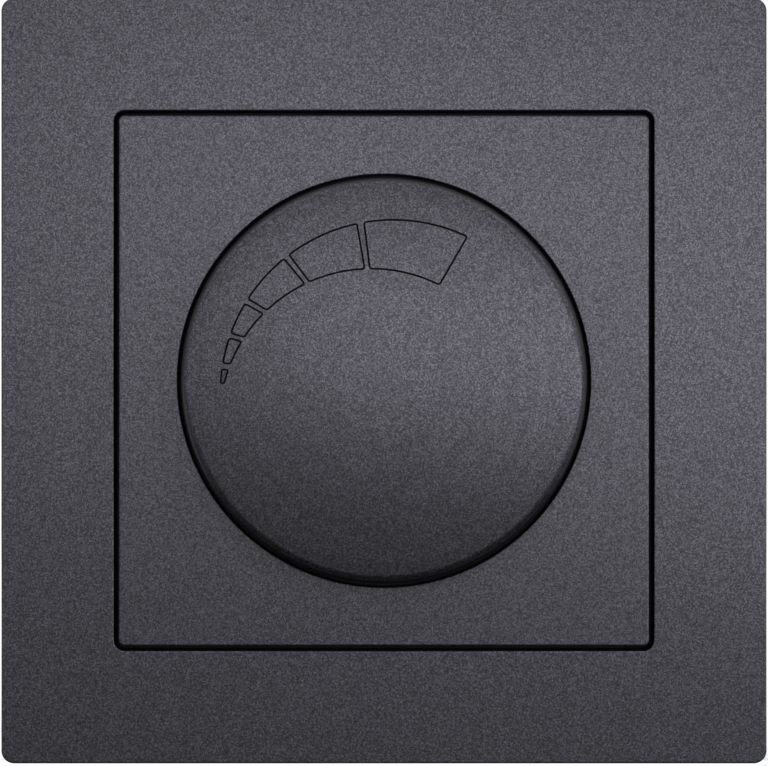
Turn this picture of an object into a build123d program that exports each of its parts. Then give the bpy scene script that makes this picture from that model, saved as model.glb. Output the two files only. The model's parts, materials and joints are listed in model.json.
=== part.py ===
from build123d import *
import math
import os

# Rotary LED dimmer for a round wall box, in millimetres.
# Pieces are drawn with x to the right, y up the wall and z out of the wall towards the user,
# and z = 0 is the wall. save_piece stands them up, so that the front looks along -Y.

# Cover frame: moulded, hollow behind, with a square window
frame_side = 80.0
frame_corner_radius = 1.5
frame_depth = 9.5
frame_draft = 1.0
frame_edge_radius = 0.2
frame_wall = 2.0
frame_face_thickness = 2.0
frame_rib_thickness = 1.2
frame_rib_offset = 17.0
frame_rib_clearance = 1.4
window_wall = 1.7
window_edge_radius = 0.15
ledge_reach = 2.0
ledge_thickness = 1.6
ledge_clearance = 0.6

# Centre plate: moulded, with a skirt on the frame's ledge and a round dish for the knob
plate_side = 55.2
plate_corner_radius = 0.6
plate_edge_radius = 0.2
plate_gap = 0.5
plate_proud = 0.3
plate_thickness = 2.0
skirt_wall = 1.5
dish_radius = 21.45
dish_depth = 3.0
dish_wall = 1.6
dish_floor_thickness = 1.6
dish_edge_radius = 0.15
plate_rib_thickness = 1.2
peg_radius = 1.4
peg_offset = 21.5
peg_clearance = 0.3
peg_end_gap = 0.3

# Knob: moulded cap with a crowned face, a hub for the shaft and six engraved segments
knob_radius = 20.95
knob_draft = 1.5
knob_height = 9.6
knob_crown = 0.9
knob_edge_radius = 1.0
knob_wall = 1.8
knob_roof_thickness = 1.9
knob_rear_gap = 2.0
hub_radius = 5.2
hub_clearance = 0.3
knob_rib_count = 6
knob_rib_thickness = 1.0
knob_rib_height = 3.6

# Engraved ramp on the knob: two circles off the knob's centre, cut by spokes of the knob
ramp_outer_radius = 17.6
ramp_outer_centre = (0.93, -1.20)
ramp_inner_radius = 15.45
ramp_inner_centre = (-1.31, -4.03)
ramp_angles = [
    (60.0, 97.2),
    (99.8, 127.0),
    (129.3, 148.9),
    (151.0, 162.7),
    (164.6, 173.7),
    (176.0, 180.8),
]
engraving_width = 0.2
engraving_depth = 0.2
engraving_corner_radius = 0.25
engraving_corner_share = 0.33

# Shaft and threaded bushing of the potentiometer
push_travel = 1.2
shaft_radius = 3.0
shaft_clearance = 0.05
shaft_socket_clearance = 0.02
shaft_flat_distance = 1.5
shaft_tip_gap = 0.3
shaft_rear_flat_distance = 2.3
neck_radius = 5.0
neck_thread_clearance = 0.03
neck_hole_clearance = 0.1
neck_overrun = 0.6
flange_radius = 9.0
flange_thickness = 1.5
plate_nut_radius = 8.5
plate_nut_thickness = 2.5
plate_nut_notch_width = 2.0
plate_nut_notch_depth = 1.2
bushing_nut_width = 13.0
bushing_nut_thickness = 2.2
washer_radius = 7.6
washer_thickness = 0.5
washer_teeth = 12
washer_tooth_depth = 1.0
clip_radius = 4.4
clip_thickness = 0.8
clip_groove_radius = 2.4
clip_groove_clearance = 0.05
clip_end_gap = 0.3
clip_mouth_width = 3.6

# Support strap: pressed steel plate with slots for the screws of the wall box
strap_gap = 2.5
strap_thickness = 1.2
strap_corner = 9.0
slot_spacing = 60.0
slot_width = 4.0
slot_length = 8.0
link_notch_width = 6.0
link_notch_depth = 2.0
link_notch_offset = 19.0

# Rear housing: moulded tub with eight sides, and the insulating plate in its mouth
housing_width = 42.0
housing_height = 50.0
housing_depth = 28.0
housing_chamfer = 9.0
housing_wall = 1.6
housing_edge_radius = 0.8
insulator_thickness = 1.5
insulator_clearance = 0.2
boss_x = 14.5
boss_y = 17.2
boss_radius = 2.7
boss_length = 11.0
post_x = 13.0
post_y = 17.0
post_radius = 1.8

# Screws
housing_screw_radius = 1.4
housing_screw_length = 10.0
housing_screw_head_radius = 2.5
housing_screw_head_height = 1.7
claw_screw_radius = 1.5
claw_screw_length = 8.5
claw_screw_head_radius = 2.7
claw_screw_head_height = 1.8
screw_thread_clearance = 0.02
screw_hole_clearance = 0.25
screw_head_bevel = 0.6
screw_slot_width = 0.8
screw_slot_depth = 0.8

# Spreading claws: bent steel sheet on two round ears
claw_pivot_depth = 3.2
claw_width = 9.0
claw_thickness = 1.2
claw_lug_length = 6.9
claw_screw_offset = 3.8
claw_slot_play = 1.0
claw_leg_length = 14.5
claw_foot_length = 3.4
claw_foot_angle = 40.0
claw_tooth_count = 3
claw_tooth_height = 1.2
claw_ear_radius = 1.0
claw_ear_clearance = 0.05
claw_side_clearance = 0.25
strap_ear_thickness = 1.2
strap_ear_width = 3.2
strap_ear_drop = 1.9
strap_ear_gap = 0.4

# Potentiometer
pot_case_wall = 0.9
pot_room = 7.2
pot_floor_thickness = 1.0
pot_floor_hole_radius = 3.6
track_thickness = 0.8
track_inner_radius = 4.2
track_outer_radius = 8.0
carrier_radius = 6.6
carrier_thickness = 2.2
carrier_clearance = 0.06
carrier_drop = 0.6
stop_lug_radius = 7.8
stop_lug_half_angle = 12.0
stop_post_reach = 1.2
turn_range = 270.0
stop_play = 3.0
wiper_thickness = 0.25
wiper_inner_radius = 3.6
wiper_outer_radius = 5.2
wiper_arm_width = 1.4
wiper_tip_radius = 6.6
wiper_tip_gap = 0.1

# Push switch behind the potentiometer
switch_side = 15.0
switch_depth = 6.8
switch_wall = 1.0
stem_radius = 2.0
stem_clearance = 0.08
stem_overrun = 0.3
shoulder_radius = 3.0
shoulder_thickness = 0.6
shoulder_gap = 1.6
pilot_radius = 1.1
pilot_length = 1.2
bridge_length = 11.0
bridge_width = 3.4
bridge_corner_radius = 1.1
bridge_thickness = 0.4
bridge_clearance = 0.1
contact_spacing = 9.2
contact_width = 1.6
contact_gap = 0.1
spring_radius = 1.7
spring_wire_radius = 0.2
spring_turns = 4
spring_end_gap = 0.05

# Electronics on the circuit board
board_thickness = 1.6
board_clearance = 0.4
film_capacitor_size = (6.0, 13.0, 11.0)
film_capacitor_place = (-14.0, -1.5)
film_capacitor_edge = 0.6
storage_capacitor_radius = 3.15
storage_capacitor_height = 10.0
storage_capacitor_place = (13.8, -4.0)
storage_capacitor_edge = 0.3
storage_capacitor_crimp = 0.3
storage_capacitor_crimp_height = 1.6
choke_x = -2.5
choke_wall_gap = 1.0
choke_outer_radius = 5.2
choke_inner_radius = 3.0
choke_height = 4.0
winding_thickness = 0.8
winding_clearance = 0.05
winding_grooves = 14
winding_groove_width = 0.3
winding_groove_depth = 0.3
winding_mouth_width = 3.0
transistor_size = (6.6, 6.2, 2.3)
transistor_spacing = 9.0
transistor_y = -15.5
transistor_tab_width = 5.2
transistor_tab_length = 1.2
transistor_tab_thickness = 0.6
transistor_lead_width = 0.7
transistor_lead_thickness = 0.5
transistor_lead_pitch = 2.3
transistor_lead_height = 1.2
heat_pad_width = 17.0
heat_pad_height = 8.4
heat_pad_thickness = 0.6
heat_pad_clearance = 0.2
chip_width = 5.0
chip_height = 4.0
chip_thickness = 1.5
chip_place = (0.0, 7.0)
chip_lead_width = 0.4
chip_lead_reach = 1.0
chip_lead_thickness = 0.5
chip_lead_pitch = 1.27
chip_leads_per_side = 4
trimmer_place = (13.4, 8.6)
trimmer_side = 6.4
trimmer_height = 4.4
trimmer_seat_radius = 2.6
trimmer_seat_depth = 1.2
trimmer_clearance = 0.06
trimmer_shaft_radius = 1.6
trimmer_shaft_overrun = 0.5
trimmer_slot_width = 0.7
trimmer_slot_depth = 0.8
trimmer_access_radius = 2.3

# Terminals: a block in the tub's rear edge, with a cage, a clamp plate and a screw for each wire
terminal_count = 3
block_width = 22.5
block_height = 11.8
block_clearance = 0.2
block_edge_radius = 0.5
cage_width = 5.2
cage_length = 6.8
cage_depth = 5.4
cage_wall = 0.8
cage_clearance = 0.15
entry_length = 2.6
wire_entry_flare = 0.6
wire_entry_flare_depth = 1.2
clamp_thickness = 0.6
clamp_length = 5.0
clamp_clearance = 0.2
terminal_screw_radius = 1.5
terminal_screw_reach = 1.2
terminal_screw_head_radius = 2.1
terminal_screw_head_height = 1.6
terminal_screw_head_gap = 0.5
terminal_screw_hole_clearance = 0.2

# Depths that follow from the sizes above, counted from the wall
plate_face = frame_depth + plate_proud
ledge_rear = strap_thickness + claw_screw_head_height + ledge_clearance
ledge_front = ledge_rear + ledge_thickness
dish_floor = plate_face - dish_depth
dish_back = dish_floor - dish_floor_thickness
plate_nut_front = dish_floor + plate_nut_thickness
neck_tip = plate_nut_front + neck_overrun
knob_rear = dish_floor + knob_rear_gap
knob_rim = knob_rear + knob_height
knob_roof = knob_rim - knob_roof_thickness
hub_rear = neck_tip + push_travel + hub_clearance
shaft_tip = knob_roof - shaft_tip_gap
washer_front = strap_thickness + washer_thickness
insulator_rear = -insulator_thickness
flange_rear = insulator_rear - flange_thickness
clip_front = flange_rear - clip_end_gap
clip_rear = clip_front - clip_thickness
pot_floor_front = flange_rear - pot_room
pot_rear = pot_floor_front - pot_floor_thickness
track_front = pot_floor_front + track_thickness
carrier_rear = track_front + carrier_drop
carrier_front = carrier_rear + carrier_thickness
stem_front = pot_rear + push_travel + stem_overrun
board_front = pot_rear - switch_depth
board_rear = board_front - board_thickness
shoulder_front = pot_rear - switch_wall - shoulder_gap
shoulder_rear = shoulder_front - shoulder_thickness
bridge_rear = shoulder_rear - bridge_thickness
housing_rear = -housing_depth
housing_floor = housing_rear + housing_wall
boss_front = insulator_rear
cage_rear = board_rear - cage_depth
claw_pivot_z = -claw_pivot_depth

# Widths that follow
window_side = plate_side + 2 * plate_gap
hollow_side = frame_side - 2 * frame_wall
strap_side = hollow_side - 2 * strap_gap
window_corner_radius = plate_corner_radius + plate_gap
block_low = -housing_height / 2
block_middle = block_low + block_height / 2
cage_centre_y = block_low + entry_length + cage_length / 2
terminal_pitch = block_width / terminal_count
terminal_places = [(i - (terminal_count - 1) / 2) * terminal_pitch for i in range(terminal_count)]
boss_places = [(boss_x, boss_y), (-boss_x, -boss_y)]
choke_reach = choke_outer_radius + winding_clearance + winding_thickness
choke_place = (choke_x, housing_height / 2 - housing_wall - choke_wall_gap - choke_reach)
peg_places = [(i * peg_offset, j * peg_offset) for i in (-1, 1) for j in (-1, 1)]
claw_pivot_x = housing_width / 2 + strap_ear_gap + strap_ear_width / 2
claw_screw_x = claw_pivot_x + claw_screw_offset
knob_face_radius = knob_radius - knob_height * math.tan(math.radians(knob_draft))
knob_ball_radius = (knob_face_radius**2 + knob_crown**2) / (2 * knob_crown)
past_surface = 1.0


def prism(outline, low, high):
    """Stand a flat outline up between two depths."""
    return Pos(0, 0, low) * extrude(outline, amount=high - low)


def disc(radius, low, high, x=0.0, y=0.0):
    return prism(Pos(x, y) * Circle(radius), low, high)


def ring(outer_radius, inner_radius, low, high, x=0.0, y=0.0):
    return prism(Pos(x, y) * (Circle(outer_radius) - Circle(inner_radius)), low, high)


def block(width, height, low, high, x=0.0, y=0.0):
    return prism(Pos(x, y) * Rectangle(width, height), low, high)


def rounded_block(width, height, radius, low, high):
    return prism(RectangleRounded(width, height, radius), low, high)


def front_edges(body):
    return body.faces().sort_by(Axis.Z)[-1].outer_wire().edges()


def rear_edges(body):
    return body.faces().sort_by(Axis.Z)[0].outer_wire().edges()


def circle_edges(body, radius, depth):
    """Round edges of one radius that lie at one depth."""
    rounds = body.edges().filter_by(GeomType.CIRCLE)
    return [e for e in rounds if math.isclose(e.radius, radius) and math.isclose(e.center().Z, depth)]


def sector(radius, start_angle, end_angle):
    """Flat wedge about the axis, between two angles under half a turn apart."""
    reach = 2 * radius
    turns = [math.radians(start_angle), math.radians(end_angle)]
    corners = [(reach * math.cos(turn), reach * math.sin(turn)) for turn in turns]
    return make_face(Polyline((0, 0), *corners, close=True))


def housing_outline():
    return chamfer(Rectangle(housing_width, housing_height).vertices(), housing_chamfer)


def inside_housing(clearance):
    """Outline of the tub's inside, less a clearance."""
    return offset(housing_outline(), amount=-(housing_wall + clearance), kind=Kind.INTERSECTION)


def slotted_screw(radius, length, head_radius, head_height):
    """Pan-head screw on the z axis, with its head standing on z = 0."""
    head = disc(head_radius, 0, head_height)
    head = chamfer(front_edges(head), screw_head_bevel)
    slot_floor = head_height - screw_slot_depth
    head -= block(2 * head_radius + past_surface, screw_slot_width, slot_floor, head_height)
    return head + disc(radius, -length, 0)


def make_cover_frame():
    outline = RectangleRounded(frame_side, frame_side, frame_corner_radius)
    body = extrude(outline, amount=frame_depth, taper=frame_draft)
    body = fillet(front_edges(body), frame_edge_radius)
    inner_face = frame_depth - frame_face_thickness
    body -= rounded_block(hollow_side, hollow_side, frame_corner_radius, 0, inner_face)
    surround_side = window_side + 2 * window_wall
    surround_radius = window_corner_radius + window_wall
    body += rounded_block(surround_side, surround_side, surround_radius, ledge_rear, inner_face)
    rib_rear = strap_thickness + frame_rib_clearance
    rib_length = (hollow_side - surround_side) / 2 + window_wall
    rib_middle = surround_side / 2 - window_wall + rib_length / 2
    rib = block(rib_length, frame_rib_thickness, rib_rear, inner_face, rib_middle)
    for turn in (0, 90, 180, 270):
        for side in (-1, 1):
            body += Rot(0, 0, turn) * Pos(0, side * frame_rib_offset) * rib
    ledge_opening = window_side - 2 * ledge_reach
    body -= rounded_block(window_side, window_side, window_corner_radius, ledge_front, frame_depth)
    body -= block(ledge_opening, ledge_opening, 0, ledge_front)
    window_edges = body.faces().sort_by(Axis.Z)[-1].inner_wires()[0].edges()
    return fillet(window_edges, window_edge_radius)


def make_centre_plate():
    body = rounded_block(plate_side, plate_side, plate_corner_radius, ledge_front, plate_face)
    body = fillet(front_edges(body), plate_edge_radius)
    skirt_inside = plate_side - 2 * skirt_wall
    inner_face = plate_face - plate_thickness
    hollow = block(skirt_inside, skirt_inside, ledge_front, inner_face)
    hollow -= disc(dish_radius + dish_wall, ledge_front, inner_face)
    for turn in (45, 135):
        hollow -= Rot(0, 0, turn) * block(2 * plate_side, plate_rib_thickness, ledge_front, inner_face)
    body -= hollow
    body += disc(dish_radius + dish_wall, dish_back, dish_floor)
    body -= disc(dish_radius, dish_floor, plate_face)
    body -= disc(neck_radius + neck_hole_clearance, dish_back, dish_floor)
    body = fillet(circle_edges(body, dish_radius, plate_face), dish_edge_radius)
    for x, y in peg_places:
        body += disc(peg_radius, peg_end_gap, inner_face, x, y)
    return body


def knob_blank(drop):
    """Solid knob with its crowned face, lowered by a drop."""
    rear = (0, knob_rear), (knob_radius, knob_rear)
    rim = (knob_face_radius, knob_rim - drop)
    crown = (0, knob_rim + knob_crown - drop)
    ball_centre = knob_rim + knob_crown - drop - knob_ball_radius
    half_angle = math.asin(knob_face_radius / knob_ball_radius) / 2
    on_arc = (
        knob_ball_radius * math.sin(half_angle),
        ball_centre + knob_ball_radius * math.cos(half_angle),
    )
    profile = Line(*rear) + Line(rear[1], rim) + ThreePointArc(rim, on_arc, crown) + Line(crown, rear[0])
    return revolve(Plane.XZ * make_face(profile), Axis.Z)


def spoke_point(centre, radius, angle):
    """Point where a spoke from the knob's centre meets a circle drawn about another centre."""
    along = (math.cos(math.radians(angle)), math.sin(math.radians(angle)))
    toward = along[0] * centre[0] + along[1] * centre[1]
    across = along[0] * centre[1] - along[1] * centre[0]
    reach = toward + math.sqrt(radius**2 - across**2)
    return (reach * along[0], reach * along[1])


def ramp_segment(start_angle, end_angle):
    """Outline of one segment of the ramp, with its corners eased."""
    angles = (start_angle, (start_angle + end_angle) / 2, end_angle)
    outer = [spoke_point(ramp_outer_centre, ramp_outer_radius, angle) for angle in angles]
    inner = [spoke_point(ramp_inner_centre, ramp_inner_radius, angle) for angle in angles]
    outline = ThreePointArc(*outer) + Line(outer[2], inner[2])
    outline += ThreePointArc(*reversed(inner)) + Line(inner[0], outer[0])
    segment = make_face(outline)
    narrow_end = math.dist(outer[2], inner[2])
    corner_radius = min(engraving_corner_radius, engraving_corner_share * narrow_end)
    return fillet(segment.vertices(), corner_radius)


def make_dimmer_knob():
    body = knob_blank(0)
    body = fillet(circle_edges(body, knob_face_radius, knob_rim), knob_edge_radius)
    cavity = extrude(Circle(knob_radius - knob_wall), amount=knob_roof - knob_rear, taper=knob_draft)
    body -= Pos(0, 0, knob_rear) * cavity
    rib_length = knob_radius - knob_wall / 2
    for i in range(knob_rib_count):
        rib = block(rib_length, knob_rib_thickness, knob_roof - knob_rib_height, knob_roof, rib_length / 2)
        body += Rot(0, 0, i * 360 / knob_rib_count) * rib
    body += disc(hub_radius, hub_rear, knob_roof)
    body -= shaft_socket()
    for start_angle, end_angle in ramp_angles:
        segment = ramp_segment(start_angle, end_angle)
        line = offset(segment, amount=engraving_width / 2) - offset(segment, amount=-engraving_width / 2)
        body -= prism(line, knob_roof, knob_rim + 2 * knob_crown) - knob_blank(engraving_depth)
    return body


def shaft_socket():
    """Round socket with one flat, for the tip of the shaft."""
    radius = shaft_radius + shaft_socket_clearance
    flat = shaft_flat_distance + shaft_socket_clearance
    socket = disc(radius, hub_rear, knob_roof)
    socket -= block(2 * radius, 2 * radius, hub_rear, knob_roof, 0, flat + radius)
    return socket


def make_plate_nut():
    body = ring(plate_nut_radius, neck_radius + neck_thread_clearance, dish_floor, plate_nut_front)
    notch_floor = plate_nut_front - plate_nut_notch_depth
    notch = block(2 * plate_nut_radius + past_surface, plate_nut_notch_width, notch_floor, plate_nut_front)
    for turn in (0, 90):
        body -= Rot(0, 0, turn) * notch
    return body


def make_bushing_nut():
    hexagon = RegularPolygon(bushing_nut_width / 2, 6, major_radius=False)
    bore = Circle(neck_radius + neck_thread_clearance)
    return prism(hexagon - bore, washer_front, washer_front + bushing_nut_thickness)


def make_lock_washer():
    outline = Circle(washer_radius) - Circle(neck_radius + neck_hole_clearance)
    tooth_gap = math.pi * washer_radius / washer_teeth
    for i in range(washer_teeth):
        notch = Pos(washer_radius, 0) * Rectangle(2 * washer_tooth_depth, tooth_gap)
        outline -= Rot(0, 0, i * 360 / washer_teeth) * notch
    return prism(outline, strap_thickness, washer_front)


def make_support_strap():
    outline = chamfer(Rectangle(strap_side, strap_side).vertices(), strap_corner)
    outline -= Circle(neck_radius + neck_hole_clearance)
    for side in (-1, 1):
        slot = SlotOverall(slot_length, slot_width, rotation=90)
        outline -= Pos(0, side * slot_spacing / 2) * slot
        outline -= Pos(side * claw_screw_x, 0) * Circle(claw_screw_radius + screw_hole_clearance)
        for height in (-link_notch_offset, link_notch_offset):
            outline -= Pos(side * strap_side / 2, height) * Rectangle(2 * link_notch_depth, link_notch_width)
            outline -= Pos(height, side * strap_side / 2) * Rectangle(link_notch_width, 2 * link_notch_depth)
    for x, y in peg_places:
        outline -= Pos(x, y) * Circle(peg_radius + peg_clearance)
    for x, y in boss_places:
        outline -= Pos(x, y) * Circle(housing_screw_radius + screw_hole_clearance)
    outline -= Pos(*trimmer_place) * Circle(trimmer_access_radius)
    body = prism(outline, 0, strap_thickness)
    ear_drop = claw_pivot_depth + strap_ear_drop
    ear_place = claw_width / 2 + claw_side_clearance + strap_ear_thickness / 2
    for side in (-1, 1):
        for height in (-ear_place, ear_place):
            body += block(strap_ear_width, strap_ear_thickness, -ear_drop, 0, side * claw_pivot_x, height)
        body -= claw_pin(claw_ear_radius + claw_ear_clearance, claw_width, side)
    return body


def claw_pin(radius, extra_length, side):
    """Round bar along a claw's pivot, longer than the claw by an extra length."""
    bar = Cylinder(radius, claw_width + extra_length, rotation=(90, 0, 0))
    return Pos(side * claw_pivot_x, 0, claw_pivot_z) * bar


def make_claw(side):
    """Claw on the right, or its mirror image on the left."""
    hole_width = 2 * (claw_screw_radius + screw_hole_clearance)
    lug_outline = Pos(claw_pivot_x + claw_lug_length / 2, 0) * Rectangle(claw_lug_length, claw_width)
    lug_outline -= Pos(claw_screw_x, 0) * SlotOverall(hole_width + claw_slot_play, hole_width)
    lug = prism(lug_outline, claw_pivot_z - claw_thickness / 2, claw_pivot_z + claw_thickness / 2)
    leg = block(claw_thickness, claw_width, claw_pivot_z - claw_leg_length, claw_pivot_z, claw_pivot_x)
    foot = block(claw_thickness, claw_width, -claw_foot_length, 0)
    tooth_width = claw_width / claw_tooth_count
    for i in range(claw_tooth_count + 1):
        notch = Pos(0, i * tooth_width - claw_width / 2, -claw_foot_length) * Rot(0, 90, 0)
        foot -= notch * tooth_notch(tooth_width)
    foot = Pos(claw_pivot_x, 0, claw_pivot_z - claw_leg_length) * Rot(0, -claw_foot_angle, 0) * foot
    knuckle = claw_pin(claw_thickness / 2, 0, 1)
    heel = claw_pin(claw_thickness / 2, 0, 1).moved(Location((0, 0, -claw_leg_length)))
    ears = claw_pin(claw_ear_radius, 2 * (claw_side_clearance + strap_ear_thickness), 1)
    body = lug + leg + foot + knuckle + heel + ears
    return body if side > 0 else mirror(body, about=Plane.YZ)


def tooth_notch(width):
    """Gap between two teeth, as a three-sided bar across the sheet."""
    corners = [(-claw_tooth_height, 0), (0, -width / 2), (0, width / 2)]
    gap = make_face(Polyline(*corners, close=True))
    return extrude(gap, amount=claw_thickness, both=True)


def make_claw_screws():
    screw = slotted_screw(
        claw_screw_radius,
        claw_screw_length,
        claw_screw_head_radius,
        claw_screw_head_height,
    )
    return [Pos(side * claw_screw_x, 0, strap_thickness) * screw for side in (-1, 1)]


def make_housing_screws():
    screw = slotted_screw(
        housing_screw_radius,
        housing_screw_length,
        housing_screw_head_radius,
        housing_screw_head_height,
    )
    return [Pos(x, y, strap_thickness) * screw for x, y in boss_places]


def make_rear_housing():
    body = prism(housing_outline(), housing_rear, 0)
    body = fillet(rear_edges(body), housing_edge_radius)
    body -= prism(inside_housing(0), housing_floor, 0)
    inside = prism(inside_housing(-housing_wall / 2), housing_rear, 0)
    for x, y in boss_places:
        wall_x = math.copysign(housing_width, x)
        wall_y = math.copysign(housing_height, y)
        toward_wall = math.degrees(math.atan2(wall_y, wall_x))
        web = Rot(0, 0, toward_wall) * Pos(boss_radius, 0) * Rectangle(2 * boss_radius, 2 * boss_radius)
        boss = prism(Pos(x, y) * (Circle(boss_radius) + web), boss_front - boss_length, boss_front)
        body += boss & inside
        body -= disc(housing_screw_radius + screw_thread_clearance, boss_front - boss_length, 0, x, y)
    for side in (-1, 1):
        body += disc(post_radius, housing_floor, board_rear, side * post_x, post_y)
    notch_width = block_width + 2 * block_clearance
    notch_height = block_height + block_clearance
    notch_middle = block_low + notch_height / 2
    body -= block(notch_width, notch_height, housing_rear, board_rear, 0, notch_middle)
    return body


def make_insulating_plate():
    outline = inside_housing(insulator_clearance)
    outline -= Circle(neck_radius + neck_hole_clearance)
    for x, y in boss_places:
        outline -= Pos(x, y) * Circle(housing_screw_radius + screw_hole_clearance)
    outline -= Pos(*trimmer_place) * Circle(trimmer_shaft_radius + trimmer_clearance)
    pad_window = Rectangle(heat_pad_width + 2 * heat_pad_clearance, heat_pad_height + 2 * heat_pad_clearance)
    outline -= Pos(0, transistor_y) * pad_window
    return prism(outline, insulator_rear, 0)


def make_shaft_bushing():
    neck = disc(neck_radius, insulator_rear, neck_tip)
    neck += disc(flange_radius, flange_rear, insulator_rear)
    return neck - disc(shaft_radius + shaft_clearance, flange_rear, neck_tip)


def rear_flats(radius, flat, low, high):
    """Round bar with two flats, for the rear of the shaft and its hole."""
    return prism(Circle(radius) & Rectangle(2 * radius, 2 * flat), low, high)


def make_control_shaft():
    flat_start = carrier_front + push_travel + shaft_tip_gap
    body = disc(shaft_radius, flat_start, shaft_tip)
    flat_middle = shaft_flat_distance + shaft_radius
    body -= block(2 * shaft_radius, 2 * shaft_radius, hub_rear, shaft_tip, 0, flat_middle)
    groove_front = clip_front + clip_groove_clearance
    groove_rear = clip_rear - clip_groove_clearance
    body -= ring(shaft_radius + past_surface, clip_groove_radius, groove_rear, groove_front)
    return body + rear_flats(shaft_radius, shaft_rear_flat_distance, stem_front, flat_start)


def make_shaft_clip():
    body = ring(clip_radius, clip_groove_radius + clip_groove_clearance, clip_rear, clip_front)
    return body - block(clip_mouth_width, clip_radius, clip_rear, clip_front, 0, -clip_radius / 2)


def make_pot_case():
    inner_radius = flange_radius - pot_case_wall
    body = disc(flange_radius, pot_rear, flange_rear)
    body -= disc(inner_radius, pot_floor_front, flange_rear)
    body -= disc(pot_floor_hole_radius, pot_rear, pot_floor_front)
    half_angle = (360 - turn_range) / 2 - stop_lug_half_angle - stop_play
    post = Circle(inner_radius + pot_case_wall / 2) - Circle(inner_radius - stop_post_reach)
    post &= sector(flange_radius, 90 - half_angle, 90 + half_angle)
    return body + prism(post, carrier_rear, carrier_front)


def make_resistor_track():
    return ring(track_outer_radius, track_inner_radius, pot_floor_front, track_front)


def make_wiper_carrier():
    lug_angle = 90 - (360 - turn_range) / 2
    lug_start = lug_angle - stop_lug_half_angle
    lug_end = lug_angle + stop_lug_half_angle
    lug = Circle(stop_lug_radius) & sector(stop_lug_radius, lug_start, lug_end)
    body = prism(Circle(carrier_radius) + lug, carrier_rear, carrier_front)
    hole_radius = shaft_radius + carrier_clearance
    hole_flat = shaft_rear_flat_distance + carrier_clearance
    return body - rear_flats(hole_radius, hole_flat, carrier_rear, carrier_front)


def make_wiper_contact():
    spring_rear = carrier_rear - wiper_thickness
    body = ring(wiper_outer_radius, wiper_inner_radius, spring_rear, carrier_rear)
    arm_start = (wiper_inner_radius + wiper_outer_radius) / 2
    arm_end = wiper_tip_radius + wiper_arm_width / 2
    arm_middle = (arm_start + arm_end) / 2
    body += block(arm_end - arm_start, wiper_arm_width, spring_rear, carrier_rear, arm_middle)
    return body + disc(wiper_arm_width / 2, track_front + wiper_tip_gap, carrier_rear, wiper_tip_radius)


def make_switch_case():
    body = block(switch_side, switch_side, board_front, pot_rear)
    inner_side = switch_side - 2 * switch_wall
    body -= block(inner_side, inner_side, board_front, pot_rear - switch_wall)
    return body - disc(stem_radius + stem_clearance, board_front, pot_rear)


def make_switch_plunger():
    body = disc(stem_radius, shoulder_rear, stem_front)
    body += disc(shoulder_radius, shoulder_rear, shoulder_front)
    return body + disc(pilot_radius, shoulder_rear - pilot_length, shoulder_rear)


def make_contact_bridge():
    outline = RectangleRounded(bridge_length, bridge_width, bridge_corner_radius)
    return prism(outline - Circle(pilot_radius + bridge_clearance), bridge_rear, shoulder_rear)


def make_fixed_contacts():
    contact_front = bridge_rear - push_travel - contact_gap
    return [
        block(contact_width, contact_width, board_front, contact_front, side * contact_spacing / 2)
        for side in (-1, 1)
    ]


def make_return_spring():
    low = board_front + spring_wire_radius + spring_end_gap
    height = bridge_rear - board_front - 2 * (spring_wire_radius + spring_end_gap)
    coil = Helix(height / spring_turns, height, spring_radius)
    wire = Plane(origin=coil @ 0, z_dir=coil % 0) * RegularPolygon(spring_wire_radius, 6)
    return Pos(0, 0, low) * sweep(wire, path=coil, is_frenet=True)


def make_circuit_board():
    return prism(inside_housing(board_clearance), board_rear, board_front)


def make_film_capacitor():
    width, length, height = film_capacitor_size
    body = block(width, length, board_front, board_front + height)
    body = fillet(front_edges(body), film_capacitor_edge)
    return Pos(*film_capacitor_place) * body


def make_storage_capacitor():
    x, y = storage_capacitor_place
    top = board_front + storage_capacitor_height
    body = disc(storage_capacitor_radius, board_front, top)
    body = chamfer(front_edges(body), storage_capacitor_edge)
    crimp_low = board_front + storage_capacitor_crimp_height
    crimp = ring(
        storage_capacitor_radius + past_surface,
        storage_capacitor_radius - storage_capacitor_crimp,
        crimp_low,
        crimp_low + 2 * storage_capacitor_crimp,
    )
    return Pos(x, y) * (body - crimp)


def make_choke_core():
    low = board_front + winding_thickness + winding_clearance
    return ring(choke_outer_radius, choke_inner_radius, low, low + choke_height, *choke_place)


def make_choke_winding():
    outer = choke_outer_radius + winding_clearance
    inner = choke_inner_radius - winding_clearance
    core_low = board_front + winding_thickness
    core_high = core_low + choke_height + 2 * winding_clearance
    top = core_high + winding_thickness
    body = ring(outer + winding_thickness, inner - winding_thickness, board_front, top)
    body -= ring(outer, inner, core_low, core_high)
    reach = outer + winding_thickness
    for i in range(winding_grooves):
        turn = Rot(0, 0, i * 360 / winding_grooves)
        body -= turn * block(reach, winding_groove_width, top - winding_groove_depth, top, reach / 2)
        body -= turn * block(2 * winding_groove_depth, winding_groove_width, board_front, top, reach)
    mouth = block(winding_mouth_width, reach, board_front, top, 0, reach / 2)
    return Pos(*choke_place) * (body - mouth)


def make_transistor(side):
    width, height, thickness = transistor_size
    front = -heat_pad_thickness
    rear = front - thickness
    body = block(width, height, rear, front)
    tab_y = -(height + transistor_tab_length) / 2
    tab_rear = front - transistor_tab_thickness
    body += block(transistor_tab_width, transistor_tab_length, tab_rear, front, 0, tab_y)
    lead_y = height / 2 + transistor_lead_height / 2
    lead_front = rear + transistor_lead_thickness
    for i in (-1, 0, 1):
        x = i * transistor_lead_pitch
        body += block(transistor_lead_width, transistor_lead_height, rear, lead_front, x, lead_y)
        drop_y = height / 2 + transistor_lead_height - transistor_lead_thickness / 2
        body += block(transistor_lead_width, transistor_lead_thickness, board_front, lead_front, x, drop_y)
    return Pos(side * transistor_spacing / 2, transistor_y) * body


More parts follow.
